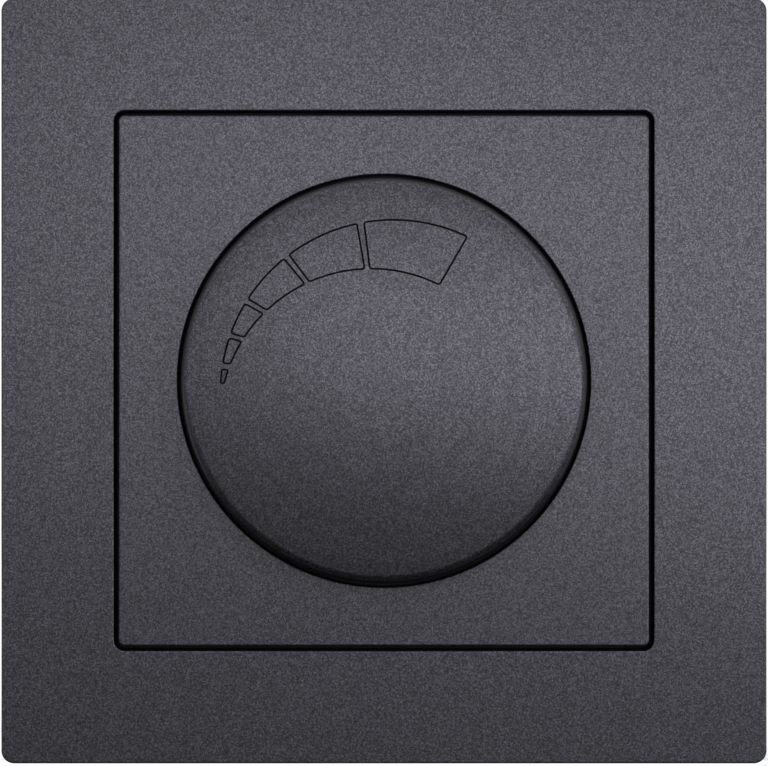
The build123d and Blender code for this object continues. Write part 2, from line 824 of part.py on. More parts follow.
def make_heat_pad():
    return block(heat_pad_width, heat_pad_height, -heat_pad_thickness, 0, 0, transistor_y)


def make_driver_chip():
    body = block(chip_width, chip_height, board_rear - chip_thickness, board_rear)
    lead_length = chip_height + 2 * chip_lead_reach
    lead_rear = board_rear - chip_lead_thickness
    for i in range(chip_leads_per_side):
        x = (i - (chip_leads_per_side - 1) / 2) * chip_lead_pitch
        body += block(chip_lead_width, lead_length, lead_rear, board_rear, x)
    return Pos(*chip_place) * body


def make_trimmer_body():
    top = board_front + trimmer_height
    body = block(trimmer_side, trimmer_side, board_front, top)
    body -= disc(trimmer_seat_radius + trimmer_clearance, top - trimmer_seat_depth, top)
    return Pos(*trimmer_place) * body


def make_trimmer_screw():
    seat = board_front + trimmer_height - trimmer_seat_depth
    tip = trimmer_shaft_overrun
    body = disc(trimmer_seat_radius, seat, seat + trimmer_seat_depth)
    body += disc(trimmer_shaft_radius, seat, tip)
    body -= block(2 * trimmer_shaft_radius + past_surface, trimmer_slot_width, tip - trimmer_slot_depth, tip)
    return Pos(*trimmer_place) * body


def make_terminal_block():
    body = block(block_width, block_height, housing_rear, board_rear, 0, block_middle)
    body = fillet(rear_edges(body), block_edge_radius)
    pocket_width = cage_width + 2 * cage_clearance
    pocket_length = cage_length + 2 * cage_clearance
    pocket_rear = cage_rear - cage_clearance
    entry_width = cage_width - 2 * cage_wall
    entry_height = cage_depth - 2 * cage_wall
    entry_middle = (board_rear + cage_rear) / 2
    flare_angle = math.degrees(math.atan2(wire_entry_flare, wire_entry_flare_depth))
    entry_reach = cage_centre_y - block_low
    for x in terminal_places:
        body -= block(pocket_width, pocket_length, pocket_rear, board_rear, x, cage_centre_y)
        hole_radius = terminal_screw_head_radius + terminal_screw_hole_clearance
        body -= disc(hole_radius, housing_rear, pocket_rear, x, cage_centre_y)
        entry = Box(entry_width, entry_reach, entry_height)
        body -= Pos(x, block_low + entry_reach / 2, entry_middle) * entry
        mouth = Rectangle(entry_width + 2 * wire_entry_flare, entry_height + 2 * wire_entry_flare)
        mouth = Plane(origin=(x, block_low, entry_middle), z_dir=(0, 1, 0)) * mouth
        body -= extrude(mouth, amount=wire_entry_flare_depth, taper=flare_angle)
    return body


def make_terminal_cage(x):
    body = block(cage_width, cage_length, cage_rear, board_rear, x, cage_centre_y)
    channel_width = cage_width - 2 * cage_wall
    channel_rear = cage_rear + cage_wall
    body -= block(channel_width, cage_length, channel_rear, board_rear - cage_wall, x, cage_centre_y)
    hole_radius = terminal_screw_radius + screw_thread_clearance
    return body - disc(hole_radius, cage_rear, channel_rear, x, cage_centre_y)


def make_clamp_plates():
    rear = cage_rear + cage_wall + terminal_screw_reach
    width = cage_width - 2 * cage_wall - 2 * clamp_clearance
    plate = block(width, clamp_length, rear, rear + clamp_thickness, 0, cage_centre_y)
    return [Pos(x, 0) * plate for x in terminal_places]


def make_terminal_screws():
    head_seat = cage_rear - terminal_screw_head_gap
    length = terminal_screw_head_gap + cage_wall + terminal_screw_reach
    screw = slotted_screw(
        terminal_screw_radius,
        length,
        terminal_screw_head_radius,
        terminal_screw_head_height,
    )
    return [Pos(x, cage_centre_y, head_seat) * Rot(180, 0, 0) * screw for x in terminal_places]


def save_piece(name, shape):
    """Turn a piece, or a group of like pieces, to face along -Y and write it."""
    solids = shape if isinstance(shape, list) else [shape]
    turned = [Rot(90, 0, 0) * solid for solid in solids]
    piece = turned[0] if len(turned) == 1 else Compound(children=turned)
    export_step(piece, f"parts/{name}.step")


os.makedirs("parts", exist_ok=True)
save_piece("cover_frame", make_cover_frame())
save_piece("centre_plate", make_centre_plate())
save_piece("dimmer_knob", make_dimmer_knob())
save_piece("plate_nut", make_plate_nut())
save_piece("bushing_nut", make_bushing_nut())
save_piece("lock_washer", make_lock_washer())
save_piece("support_strap", make_support_strap())
save_piece("claw_left", make_claw(-1))
save_piece("claw_right", make_claw(1))
save_piece("claw_screws", make_claw_screws())
save_piece("housing_screws", make_housing_screws())
save_piece("rear_housing", make_rear_housing())
save_piece("insulating_plate", make_insulating_plate())
save_piece("shaft_bushing", make_shaft_bushing())
save_piece("control_shaft", make_control_shaft())
save_piece("shaft_clip", make_shaft_clip())
save_piece("pot_case", make_pot_case())
save_piece("resistor_track", make_resistor_track())
save_piece("wiper_carrier", make_wiper_carrier())
save_piece("wiper_contact", make_wiper_contact())
save_piece("switch_case", make_switch_case())
save_piece("switch_plunger", make_switch_plunger())
save_piece("contact_bridge", make_contact_bridge())
save_piece("fixed_contacts", make_fixed_contacts())
save_piece("return_spring", make_return_spring())
save_piece("circuit_board", make_circuit_board())
save_piece("film_capacitor", make_film_capacitor())
save_piece("storage_capacitor", make_storage_capacitor())
save_piece("choke_core", make_choke_core())
save_piece("choke_winding", make_choke_winding())
save_piece("transistor_left", make_transistor(-1))
save_piece("transistor_right", make_transistor(1))
save_piece("heat_pad", make_heat_pad())
save_piece("driver_chip", make_driver_chip())
save_piece("trimmer_body", make_trimmer_body())
save_piece("trimmer_screw", make_trimmer_screw())
save_piece("terminal_block", make_terminal_block())
for number, place in enumerate(terminal_places, start=1):
    save_piece(f"terminal_cage_{number}", make_terminal_cage(place))
save_piece("clamp_plates", make_clamp_plates())
save_piece("terminal_screws", make_terminal_screws())
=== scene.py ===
import json
import math

import bmesh
import bpy
from mathutils import Matrix, Quaternion, Vector


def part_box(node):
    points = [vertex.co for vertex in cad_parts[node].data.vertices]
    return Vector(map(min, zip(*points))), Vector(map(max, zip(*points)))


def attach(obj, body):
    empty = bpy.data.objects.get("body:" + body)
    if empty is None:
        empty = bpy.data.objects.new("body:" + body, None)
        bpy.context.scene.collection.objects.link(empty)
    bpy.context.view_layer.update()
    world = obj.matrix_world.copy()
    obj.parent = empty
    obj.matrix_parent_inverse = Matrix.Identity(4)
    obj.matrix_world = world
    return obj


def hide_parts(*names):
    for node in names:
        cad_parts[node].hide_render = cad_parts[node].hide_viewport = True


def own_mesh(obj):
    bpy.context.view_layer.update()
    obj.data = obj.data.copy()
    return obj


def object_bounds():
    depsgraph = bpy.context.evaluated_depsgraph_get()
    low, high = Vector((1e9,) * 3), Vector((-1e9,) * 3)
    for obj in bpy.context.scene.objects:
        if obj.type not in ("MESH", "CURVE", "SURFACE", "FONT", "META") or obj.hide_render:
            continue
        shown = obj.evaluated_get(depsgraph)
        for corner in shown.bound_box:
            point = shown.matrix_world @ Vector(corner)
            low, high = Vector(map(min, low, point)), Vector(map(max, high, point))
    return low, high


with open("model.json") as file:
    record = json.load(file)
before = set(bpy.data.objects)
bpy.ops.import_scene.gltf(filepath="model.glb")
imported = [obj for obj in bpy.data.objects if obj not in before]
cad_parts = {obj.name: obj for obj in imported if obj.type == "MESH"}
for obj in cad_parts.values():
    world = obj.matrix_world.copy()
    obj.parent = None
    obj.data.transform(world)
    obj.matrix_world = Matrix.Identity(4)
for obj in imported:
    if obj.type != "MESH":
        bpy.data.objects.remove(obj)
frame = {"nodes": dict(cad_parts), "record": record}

cad_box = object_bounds()
nodes = frame["nodes"]
body_of = {node: body for body, names in frame["record"]["behaviour"]["bodies"].items() for node in names}
mm = 0.001

# Support strap
# Pressed from steel sheet and zinc plated. It lies on the wall over the box, and the
# potentiometer, the tub and the claws are all fixed to it.
zinc_colour = (0.60, 0.61, 0.63, 1)
zinc_roughness = 0.34
zinc_crystal = 1.2 * mm
zinc_streak = 0.25 * mm
plating_bump = 0.02 * mm
bump_strength = 0.3
darkest_crystal = 0.86
lightest_crystal = 1.1
streak_detail = 3.0
streak_stretch = (0.04, 1, 1)
glossiest_streak = 0.75
dullest_streak = 1.3
noise_low = 0.3
noise_high = 0.7


def add_node(tree, kind, inputs=None, **settings):
    """Add a node to a material or group, with its settings and the values of its free inputs."""
    made = tree.nodes.new(kind)
    for name, value in settings.items():
        setattr(made, name, value)
    for name, value in (inputs or {}).items():
        made.inputs[name].default_value = value
    return made


def link(tree, source, output, target, socket):
    """Join an output of one node to an input of another."""
    tree.links.new(source.outputs[output], target.inputs[socket])


def new_group(name, inputs, outputs):
    """Start a shader node group, with its sockets given as pairs of kind and name."""
    tree = bpy.data.node_groups.new(name, "ShaderNodeTree")
    for kind, socket in inputs:
        tree.interface.new_socket(socket, in_out="INPUT", socket_type=kind)
    for kind, socket in outputs:
        tree.interface.new_socket(socket, in_out="OUTPUT", socket_type=kind)
    return tree, add_node(tree, "NodeGroupInput"), add_node(tree, "NodeGroupOutput")


def spread_noise(tree, least, most):
    """Spread a noise, which keeps near its middle, from a least to a most value."""
    ends = {"From Min": noise_low, "From Max": noise_high, "To Min": least, "To Max": most}
    return add_node(tree, "ShaderNodeMapRange", ends)


def plated_sheet_group():
    """Crystals and rolling streaks of plated or rolled metal."""
    tree, given, made = new_group(
        "plated_sheet",
        [
            ("NodeSocketColor", "Colour"),
            ("NodeSocketFloat", "Crystals per metre"),
            ("NodeSocketFloat", "Streaks per metre"),
            ("NodeSocketFloat", "Roughness"),
        ],
        [("NodeSocketColor", "Colour"), ("NodeSocketFloat", "Roughness"), ("NodeSocketFloat", "Height")],
    )
    place = add_node(tree, "ShaderNodeTexCoord")
    crystals = add_node(tree, "ShaderNodeTexVoronoi", feature="F1")
    streaks = add_node(tree, "ShaderNodeTexNoise", {"Detail": streak_detail})
    stretch = add_node(tree, "ShaderNodeMapping", {"Scale": streak_stretch})
    shade = add_node(tree, "ShaderNodeMapRange", {"To Min": darkest_crystal, "To Max": lightest_crystal})
    tint = add_node(tree, "ShaderNodeMix", {"Factor": 1.0}, data_type="RGBA", blend_type="MULTIPLY")
    gloss = spread_noise(tree, glossiest_streak, dullest_streak)
    rough = add_node(tree, "ShaderNodeMath", operation="MULTIPLY")
    link(tree, place, "Object", crystals, "Vector")
    link(tree, given, "Crystals per metre", crystals, "Scale")
    link(tree, place, "Object", stretch, "Vector")
    link(tree, stretch, "Vector", streaks, "Vector")
    link(tree, given, "Streaks per metre", streaks, "Scale")
    link(tree, crystals, "Color", shade, "Value")
    link(tree, given, "Colour", tint, "A")
    link(tree, shade, "Result", tint, "B")
    link(tree, streaks, "Fac", gloss, "Value")
    link(tree, given, "Roughness", rough, 0)
    link(tree, gloss, "Result", rough, 1)
    link(tree, tint, "Result", made, "Colour")
    link(tree, rough, "Value", made, "Roughness")
    link(tree, streaks, "Fac", made, "Height")
    return tree


plated_sheet = plated_sheet_group()


def finish(name, group, group_values, bump_distance, metallic=0.0):
    """Material whose colour, roughness and bump, and metal share if given, come from a node group."""
    material = bpy.data.materials.new(name)
    material.use_nodes = True
    tree = material.node_tree
    shader = tree.nodes["Principled BSDF"]
    shader.inputs["Metallic"].default_value = metallic
    pattern = add_node(tree, "ShaderNodeGroup", node_tree=group)
    for socket, value in group_values.items():
        pattern.inputs[socket].default_value = value
    bump = add_node(tree, "ShaderNodeBump", {"Strength": bump_strength, "Distance": bump_distance})
    link(tree, pattern, "Colour", shader, "Base Color")
    link(tree, pattern, "Roughness", shader, "Roughness")
    if "Metallic" in pattern.outputs:
        link(tree, pattern, "Metallic", shader, "Metallic")
    link(tree, pattern, "Height", bump, "Height")
    link(tree, bump, "Normal", shader, "Normal")
    return material


def metal(name, colour, crystal, streak, roughness):
    """Plated or bare metal, with the sizes of its crystals and of its rolling streaks."""
    values = {
        "Colour": colour,
        "Crystals per metre": 1 / crystal,
        "Streaks per metre": 1 / streak,
        "Roughness": roughness,
    }
    return finish(name, plated_sheet, values, plating_bump, metallic=1.0)


def dress(material, *names):
    """Give carried-over pieces a material."""
    for name in names:
        piece = nodes[name]
        piece.data.materials.clear()
        piece.data.materials.append(material)


zinc = metal("zinc_plating", zinc_colour, zinc_crystal, zinc_streak, zinc_roughness)
dress(zinc, "support_strap")

# Spreading claws
# Bent from the same plated sheet, with teeth on the foot. They hang on the strap's ears and bite
# into the wall of a box that has no screw posts.
dress(zinc, "claw_left", "claw_right")

# Claw screws
# Turned steel with a slotted pan head and a rolled thread, zinc plated. Each one passes through the
# strap and draws its claw outward.
claw_screw_radius = 1.5 * mm
claw_screw_length = 8.5 * mm
claw_screw_head_radius = 2.7 * mm
claw_screw_head_height = 1.8 * mm
screw_pitch = 0.6 * mm
screw_thread_depth = 0.28 * mm
thread_rows = 6
screw_head_round = 0.6 * mm
screw_slot_width = 0.8 * mm
screw_slot_depth = 0.8 * mm
screw_steps = 40
round_steps = 6
quarter_turn = math.pi / 2
sharp_angle = math.radians(32)
weld_distance = 0.001 * mm


def groove_share(turns):
    """Share of the thread's depth that is cut away, 0 on the crest and 1 at the root."""
    return abs(2 * (turns % 1) - 1)


def turned(profile, steps, pitch=screw_pitch):
    """Turn points of (radius, height out of the wall, thread depth) about the wall's normal."""
    shape = bmesh.new()
    rings = []
    for radius, height, depth in profile:
        if radius == 0:
            rings.append([shape.verts.new((0, -height, 0))])
            continue
        ring = []
        for i in range(steps):
            reach = radius - depth * groove_share(height / pitch - i / steps)
            angle = math.tau * i / steps
            ring.append(shape.verts.new((reach * math.cos(angle), -height, reach * math.sin(angle))))
        rings.append(ring)
    for low, high in zip(rings, rings[1:]):
        for i in range(steps):
            j = (i + 1) % steps
            corners = [low[i % len(low)], low[j % len(low)], high[j % len(high)], high[i % len(high)]]
            shape.faces.new(list(dict.fromkeys(corners)))
    bmesh.ops.remove_doubles(shape, verts=shape.verts, dist=weld_distance)
    bmesh.ops.recalc_face_normals(shape, faces=shape.faces)
    return shape


def round_corner(centre_radius, centre_height, size, start_angle, end_angle, steps):
    """Points of a rounded edge in a profile, with angles from straight out of the wall."""
    points = []
    for i in range(steps + 1):
        angle = start_angle + (end_angle - start_angle) * i / steps
        reach = centre_radius + size * math.sin(angle)
        points.append((reach, centre_height + size * math.cos(angle), 0))
    return points


def loose_mesh(name, shape):
    """Mesh of a finished shape, not yet on any piece."""
    mesh = bpy.data.meshes.new(name)
    shape.to_mesh(mesh)
    shape.free()
    return mesh


def bar(low, high):
    """Square-edged bar, given by its low and its high corner."""
    shape = bmesh.new()
    size = Vector(high) - Vector(low)
    middle = (Vector(high) + Vector(low)) / 2
    fitted = Matrix.Translation(middle) @ Matrix.Diagonal(size).to_4x4()
    bmesh.ops.create_cube(shape, size=1, matrix=fitted)
    return shape


def carve(mesh, tool_mesh, operation):
    """Cut a tool out of a mesh, or join it on, and keep the tool's material on the new faces."""
    piece = bpy.data.objects.new("carved", mesh)
    tool = bpy.data.objects.new("carving_tool", tool_mesh)
    for made in (piece, tool):
        bpy.context.scene.collection.objects.link(made)
    change = piece.modifiers.new("carving", "BOOLEAN")
    change.operation = operation
    change.object = tool
    change.solver = "EXACT"
    change.use_self = True
    change.material_mode = "TRANSFER"
    seen = piece.evaluated_get(bpy.context.evaluated_depsgraph_get())
    result = bpy.data.meshes.new_from_object(seen)
    bpy.data.objects.remove(piece)
    bpy.data.objects.remove(tool)
    shape = bmesh.new()
    shape.from_mesh(result)
    bmesh.ops.dissolve_degenerate(shape, edges=shape.edges, dist=weld_distance)
    shape.to_mesh(result)
    shape.free()
    return result


def gather(mesh, places):
    """Copies of a mesh at several places, as one shape."""
    shape = bmesh.new()
    for place in places:
        before = len(shape.verts)
        shape.from_mesh(mesh)
        shape.verts.ensure_lookup_table()
        bmesh.ops.transform(shape, matrix=place, verts=shape.verts[before:])
    return shape


def new_piece(name, mesh, replaced, material=None):
    """Put a finished mesh in the place of a carried-over piece."""
    piece = bpy.data.objects.new(name, mesh)
    bpy.context.scene.collection.objects.link(piece)
    if material:
        mesh.materials.clear()
        mesh.materials.append(material)
    mesh.shade_smooth()
    mesh.set_sharp_from_angle(angle=sharp_angle)
    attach(piece, body_of[replaced])
    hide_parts(replaced)
    return piece


def threaded_rows(radius, low, high, pitch, depth):
    """Profile of a thread between two heights, running out to the root at both ends."""
    run_out = pitch / 2
    threaded = high - low - 2 * run_out
    count = math.ceil(threaded / pitch * thread_rows)
    rows = [(radius - depth, low, 0)]
    for i in range(count + 1):
        rows.append((radius, low + run_out + threaded * i / count, depth))
    return rows + [(radius - depth, high, 0)]


def slotted_screw(name, radius, length, head_radius, head_height):
    """Pan-head screw with its head standing on the wall plane."""
    profile = [(0, -length, 0)] + threaded_rows(radius, -length, 0, screw_pitch, screw_thread_depth)
    profile.append((head_radius, 0, 0))
    rim_radius = head_radius - screw_head_round
    rim_height = head_height - screw_head_round
    rim = round_corner(rim_radius, rim_height, screw_head_round, quarter_turn, 0, round_steps)
    profile += rim + [(0, head_height, 0)]
    blank = loose_mesh(name, turned(profile, screw_steps))
    reach = 2 * head_radius
    slot_low = (-reach, -2 * head_height, -screw_slot_width / 2)
    slot_high = (reach, screw_slot_depth - head_height, screw_slot_width / 2)
    slot = loose_mesh("screw_slot", bar(slot_low, slot_high))
    return carve(blank, slot, "DIFFERENCE")


claw_screw = slotted_screw(
    "claw_screw", claw_screw_radius, claw_screw_length, claw_screw_head_radius, claw_screw_head_height
)
claw_screw_low, claw_screw_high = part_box("claw_screws")
claw_screw_x = claw_screw_high.x - claw_screw_head_radius
claw_screw_seat = claw_screw_low.y + claw_screw_head_height
claw_screw_places = [Matrix.Translation((side * claw_screw_x, claw_screw_seat, 0)) for side in (-1, 1)]
claw_screw_mesh = loose_mesh("claw_screw_pair", gather(claw_screw, claw_screw_places))
new_piece("claw_screw_pair", claw_screw_mesh, "claw_screws", zinc)

# Rear housing
# Tub with eight sides, moulded in black plastic with a fine eroded grain. It holds the circuit and
# is screwed to the strap from the front.
black_colour = (0.030, 0.030, 0.033, 1)
black_grain = 0.18 * mm
moulding_bump = 0.01 * mm
grain_detail = 2.0
grain_harshness = 0.6
noise_middle = 0.5
gloss_patches_per_metre = 60.0
glossiest_patch = 0.9
dullest_patch = 1.1


def moulded_grain_group():
    """Fine grain of a moulded surface, with slow changes of gloss."""
    tree, given, made = new_group(
        "moulded_grain",
        [
            ("NodeSocketColor", "Colour"),
            ("NodeSocketFloat", "Grains per metre"),
            ("NodeSocketFloat", "Contrast"),
            ("NodeSocketFloat", "Roughness"),
        ],
        [("NodeSocketColor", "Colour"), ("NodeSocketFloat", "Roughness"), ("NodeSocketFloat", "Height")],
    )
    place = add_node(tree, "ShaderNodeTexCoord")
    grain = add_node(tree, "ShaderNodeTexNoise", {"Detail": grain_detail, "Roughness": grain_harshness})
    drift = add_node(tree, "ShaderNodeTexNoise", {"Scale": gloss_patches_per_metre, "Detail": grain_detail})
    centred = add_node(tree, "ShaderNodeMath", {1: noise_middle}, operation="SUBTRACT")
    shade = add_node(tree, "ShaderNodeMath", {2: 1.0}, operation="MULTIPLY_ADD")
    tint = add_node(tree, "ShaderNodeMix", {"Factor": 1.0}, data_type="RGBA", blend_type="MULTIPLY")
    gloss = spread_noise(tree, glossiest_patch, dullest_patch)
    rough = add_node(tree, "ShaderNodeMath", operation="MULTIPLY")
    link(tree, place, "Object", grain, "Vector")
    link(tree, place, "Object", drift, "Vector")
    link(tree, given, "Grains per metre", grain, "Scale")
    link(tree, grain, "Fac", centred, 0)
    link(tree, centred, "Value", shade, 0)
    link(tree, given, "Contrast", shade, 1)
    link(tree, given, "Colour", tint, "A")
    link(tree, shade, "Value", tint, "B")
    link(tree, drift, "Fac", gloss, "Value")
    link(tree, given, "Roughness", rough, 0)
    link(tree, gloss, "Result", rough, 1)
    link(tree, tint, "Result", made, "Colour")
    link(tree, rough, "Value", made, "Roughness")
    link(tree, grain, "Fac", made, "Height")
    return tree


moulded_grain = moulded_grain_group()


def moulded(name, colour, grain_size, contrast, roughness):
    """Moulded or pressed material, with the size and the contrast of its grain."""
    values = {
        "Colour": colour,
        "Grains per metre": 1 / grain_size,
        "Contrast": contrast,
        "Roughness": roughness,
    }
    return finish(name, moulded_grain, values, moulding_bump)


black_plastic = moulded("black_plastic", black_colour, black_grain, contrast=0.8, roughness=0.48)
dress(black_plastic, "rear_housing")

# Circuit board
# Glass-fibre laminate with a green solder mask over the copper tracks. It rests on the tub's posts,
# with the switch, the capacitors and the choke soldered to it.
mask_green = (0.020, 0.165, 0.070, 1)
track_green = (0.045, 0.260, 0.110, 1)
track_pitch = 1.8 * mm
track_width_in_pitches = 0.14
track_length_in_pitches = 4.5
track_row_in_pitches = 1.0
mottle_per_metre = 900.0
mottle_detail = 2.0
glossiest_mottle = 0.7
dullest_mottle = 1.3
board_roughness = 0.32
board_bump = 0.03 * mm


def printed_board_group():
    """Copper tracks that show through a solder mask."""
    tree, given, made = new_group(
        "printed_board",
        [("NodeSocketColor", "Mask"), ("NodeSocketColor", "Tracks"), ("NodeSocketFloat", "Roughness")],
        [("NodeSocketColor", "Colour"), ("NodeSocketFloat", "Roughness"), ("NodeSocketFloat", "Height")],
    )
    place = add_node(tree, "ShaderNodeTexCoord")
    lay_flat = add_node(tree, "ShaderNodeMapping", {"Rotation": (quarter_turn, 0, 0)})
    tracks = add_node(
        tree,
        "ShaderNodeTexBrick",
        {
            "Scale": 1 / track_pitch,
            "Mortar Size": track_width_in_pitches,
            "Brick Width": track_length_in_pitches,
            "Row Height": track_row_in_pitches,
        },
    )
    mottle = add_node(tree, "ShaderNodeTexNoise", {"Scale": mottle_per_metre, "Detail": mottle_detail})
    colour = add_node(tree, "ShaderNodeMix", data_type="RGBA")
    gloss = add_node(tree, "ShaderNodeMapRange", {"To Min": glossiest_mottle, "To Max": dullest_mottle})
    rough = add_node(tree, "ShaderNodeMath", operation="MULTIPLY")
    link(tree, place, "Object", lay_flat, "Vector")
    link(tree, lay_flat, "Vector", tracks, "Vector")
    link(tree, place, "Object", mottle, "Vector")
    link(tree, tracks, "Fac", colour, "Factor")
    link(tree, given, "Mask", colour, "A")
    link(tree, given, "Tracks", colour, "B")
    link(tree, mottle, "Fac", gloss, "Value")
    link(tree, given, "Roughness", rough, 0)
    link(tree, gloss, "Result", rough, 1)
    link(tree, colour, "Result", made, "Colour")
    link(tree, rough, "Value", made, "Roughness")
    link(tree, tracks, "Fac", made, "Height")
    return tree


board_values = {"Mask": mask_green, "Tracks": track_green, "Roughness": board_roughness}
laminate = finish("board_laminate", printed_board_group(), board_values, board_bump)
dress(laminate, "circuit_board")

# Capacitors
# The film capacitor is potted in a yellow plastic box. The storage capacitor is a drawn aluminium can
# in a dark shrunk sleeve, with a crimp near its foot. Both are soldered to the board.
film_colour = (0.72, 0.50, 0.06, 1)
film_grain = 0.3 * mm
sleeve_colour = (0.030, 0.034, 0.075, 1)
sleeve_grain = 0.6 * mm
dress(moulded("film_box", film_colour, film_grain, contrast=0.25, roughness=0.38), "film_capacitor")
dress(moulded("can_sleeve", sleeve_colour, sleeve_grain, contrast=0.4, roughness=0.30), "storage_capacitor")

# Choke
# A pressed and fired ferrite ring with one layer of enamelled copper wire, which keeps the dimmer's
# noise off the mains. Its wire ends are soldered to the board.
ferrite_colour = (0.055, 0.055, 0.060, 1)
ferrite_grain = 0.12 * mm
copper_colour = (0.66, 0.27, 0.11, 1)
copper_crystal = 3.0 * mm
copper_streak = 0.4 * mm
choke_ring_width = 2.2 * mm
choke_turns = 17
choke_turn_points = 22
choke_corner_power = 0.45
choke_mouth_angle = math.radians(24)
copper_radius = 0.36 * mm
copper_gap = 0.05 * mm
wire_sides = 8


def signed_power(value, power):
    """Power of a number that keeps its sign. Below 1 it makes a circle squarer."""
    return math.copysign(abs(value) ** power, value)


def wire(points, radius, sides):
    """Round wire along a line of points, with flat ends."""
    shape = bmesh.new()
    rings = []
    across = Vector((1, 0, 0))
    for i, point in enumerate(points):
        along = (points[min(i + 1, len(points) - 1)] - points[max(i - 1, 0)]).normalized()
        across = (across - along * across.dot(along)).normalized()
        beside = along.cross(across)
        ring = []
        for k in range(sides):
            angle = math.tau * k / sides
            outward = math.cos(angle) * across + math.sin(angle) * beside
            ring.append(shape.verts.new(point + radius * outward))
        rings.append(ring)
    for low, high in zip(rings, rings[1:]):
        for k in range(sides):
            after = (k + 1) % sides
            shape.faces.new((low[k], low[after], high[after], high[k]))
    shape.faces.new(rings[0])
    shape.faces.new(rings[-1])
    bmesh.ops.recalc_face_normals(shape, faces=shape.faces)
    return shape


def choke_path():
    """Line of the wire round and round the ring, open at the top."""
    core_low, core_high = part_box("choke_core")
    core_middle = (core_low + core_high) / 2
    outer = (core_high.x - core_low.x) / 2
    inner = outer - choke_ring_width
    half_width = choke_ring_width / 2 + copper_gap + copper_radius
    half_height = (core_high.y - core_low.y) / 2 + copper_gap + copper_radius
    points = []
    count = choke_turns * choke_turn_points
    for i in range(count + 1):
        share = i / count
        around = quarter_turn + choke_mouth_angle + (math.tau - 2 * choke_mouth_angle) * share
        loop = math.tau * choke_turns * share + quarter_turn
        reach = (outer + inner) / 2 + half_width * signed_power(math.cos(loop), choke_corner_power)
        depth = half_height * signed_power(math.sin(loop), choke_corner_power)
        points.append(core_middle + Vector((reach * math.cos(around), depth, reach * math.sin(around))))
    return points


dress(moulded("ferrite", ferrite_colour, ferrite_grain, contrast=1.0, roughness=0.62), "choke_core")
copper = metal("enamelled_copper", copper_colour, copper_crystal, copper_streak, roughness=0.26)
choke_mesh = loose_mesh("copper_turns", wire(choke_path(), copper_radius, wire_sides))
new_piece("copper_turns", choke_mesh, "choke_winding", copper)

# Transistors, driver chip and heat pad
# The two switching transistors and the driver are chips moulded in black epoxy. A soft grey silicone
# pad presses the transistors' heat into the strap.
epoxy_colour = (0.022, 0.022, 0.024, 1)
epoxy_grain = 0.10 * mm
pad_colour = (0.36, 0.40, 0.46, 1)
pad_grain = 0.25 * mm
epoxy = moulded("chip_epoxy", epoxy_colour, epoxy_grain, contrast=0.6, roughness=0.55)
dress(epoxy, "transistor_left", "transistor_right", "driver_chip")
dress(moulded("silicone_pad", pad_colour, pad_grain, contrast=0.35, roughness=0.75), "heat_pad")

# Trimmer
# Adjuster for the least brightness: a brown phenolic body on the board, and a white screw that is
# reached through the strap once the centre plate is off.
phenolic_colour = (0.16, 0.08, 0.04, 1)
phenolic_grain = 0.5 * mm
white_colour = (0.78, 0.78, 0.75, 1)
white_grain = 0.2 * mm
phenolic = moulded("phenolic", phenolic_colour, phenolic_grain, contrast=0.7, roughness=0.42)
white_plastic = moulded("white_plastic", white_colour, white_grain, contrast=0.08, roughness=0.40)
dress(phenolic, "trimmer_body")
dress(white_plastic, "trimmer_screw")

# Push switch
# White moulded case and plunger, with a brass bridge that closes two brass contacts. A coil of round
# spring wire pushes the plunger and the knob's shaft back out.
brass_colour = (0.72, 0.55, 0.25, 1)
brass_crystal = 0.9 * mm
brass_streak = 0.2 * mm
spring_wire_radius = 0.2 * mm
spring_turns = 4
spring_turn_points = 32
bare_brass = metal("bare_brass", brass_colour, brass_crystal, brass_streak, roughness=0.28)
dress(white_plastic, "switch_case", "switch_plunger")
dress(bare_brass, "contact_bridge", "fixed_contacts")


def spring_path():
    """Line of the spring's wire, with its axis along the shaft."""
    low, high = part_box("return_spring")
    radius = (high.x - low.x) / 2 - spring_wire_radius
    start = low.y + spring_wire_radius
    length = high.y - low.y - 2 * spring_wire_radius
    points = []
    count = spring_turns * spring_turn_points
    for i in range(count + 1):
        angle = math.tau * i / spring_turn_points
        along = start + length * i / count
        points.append(Vector((radius * math.cos(angle), along, radius * math.sin(angle))))
    return points


spring_mesh = loose_mesh("coil_spring", wire(spring_path(), spring_wire_radius, wire_sides))
coil_spring = new_piece("coil_spring", spring_mesh, "return_spring", zinc)
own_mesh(coil_spring)

# Potentiometer
# Brown phenolic case with a printed carbon track. The wiper's brass spring sits on a white carrier
# that turns with the shaft and slides on its flats.
carbon_colour = (0.012, 0.012, 0.013, 1)
carbon_grain = 0.08 * mm
dress(phenolic, "pot_case")
dress(moulded("carbon_track", carbon_colour, carbon_grain, contrast=0.9, roughness=0.36), "resistor_track")
dress(white_plastic, "wiper_carrier")
dress(bare_brass, "wiper_contact")

# Threaded bushing
# Turned from brass and nickel plated. Its flange closes the potentiometer, and its thread takes the
# nut on the strap and the plate's nut in front of it.
nickel_colour = (0.62, 0.60, 0.56, 1)
nickel_crystal = 0.7 * mm
nickel_streak = 0.15 * mm
neck_radius = 5.0 * mm
neck_pitch = 0.75 * mm
neck_thread_depth = 0.35 * mm
bushing_bore = 3.05 * mm
flange_thickness = 1.5 * mm
bushing_steps = 64
nickel = metal("nickel_plating", nickel_colour, nickel_crystal, nickel_streak, roughness=0.24)


